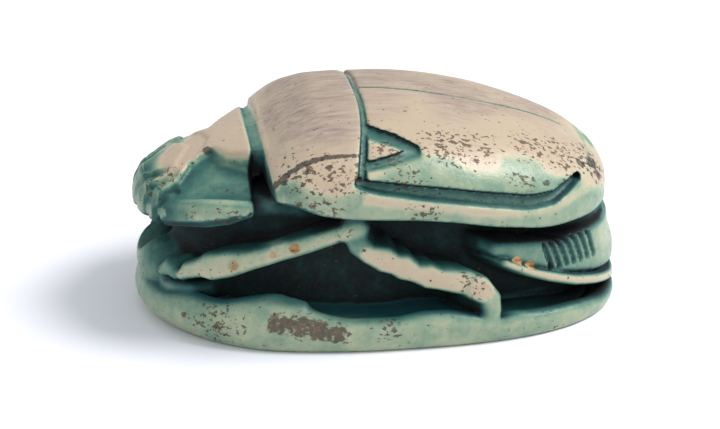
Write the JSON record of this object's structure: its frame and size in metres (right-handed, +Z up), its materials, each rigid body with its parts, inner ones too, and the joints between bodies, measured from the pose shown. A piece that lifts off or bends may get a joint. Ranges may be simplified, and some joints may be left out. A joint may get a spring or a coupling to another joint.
{
  "type": "scarab amulet",
  "caption": "Small glazed stone beetle amulet on an oval base, carved in one piece, with wing lines, folded legs and a bore through its length.",
  "frame": {"origin": "middle of the flat oval underside, on the surface the amulet stands on", "axes": "+Z up, +X along the length towards the tail, so the head looks along -X"},
  "size_m": [0.018, 0.012, 0.0084],
  "materials": {
    "glazed_steatite": "fired steatite with a worn blue-green glaze: deep teal and glossy in the carved lines, pale green on the rims, worn to cream and tan on the back, with brown and black specks"
  },
  "bodies": {
    "root": {"scarab": "glazed_steatite"}
  },
  "joints": []
}
